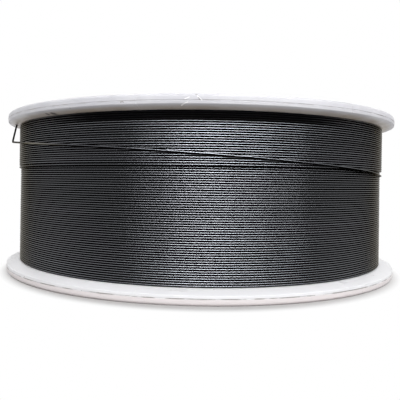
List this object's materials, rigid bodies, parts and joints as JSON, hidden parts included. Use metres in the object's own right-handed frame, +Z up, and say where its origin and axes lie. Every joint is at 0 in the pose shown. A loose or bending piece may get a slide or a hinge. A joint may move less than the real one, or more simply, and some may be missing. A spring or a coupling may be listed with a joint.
{
  "type": "spool of welding wire",
  "caption": "Plastic flanged spool with a ribbed hub and central bore, wound full with fine steel welding wire whose free end is tied off through a flange.",
  "frame": {"origin": "middle of the lower flange's outer face, on the spool's axis", "axes": "+Z up along the spool's axis; the front, which the free wire end crosses, is -Y; the drive hole is on +X"},
  "size_m": [0.27, 0.27, 0.103],
  "materials": {
    "plastic": "white moulded plastic, slightly glossy, with faint scuffs",
    "wire": "dark drawn steel wire, closely wound"
  },
  "bodies": {
    "root": {"spool": "plastic", "wire": "wire"}
  },
  "joints": []
}
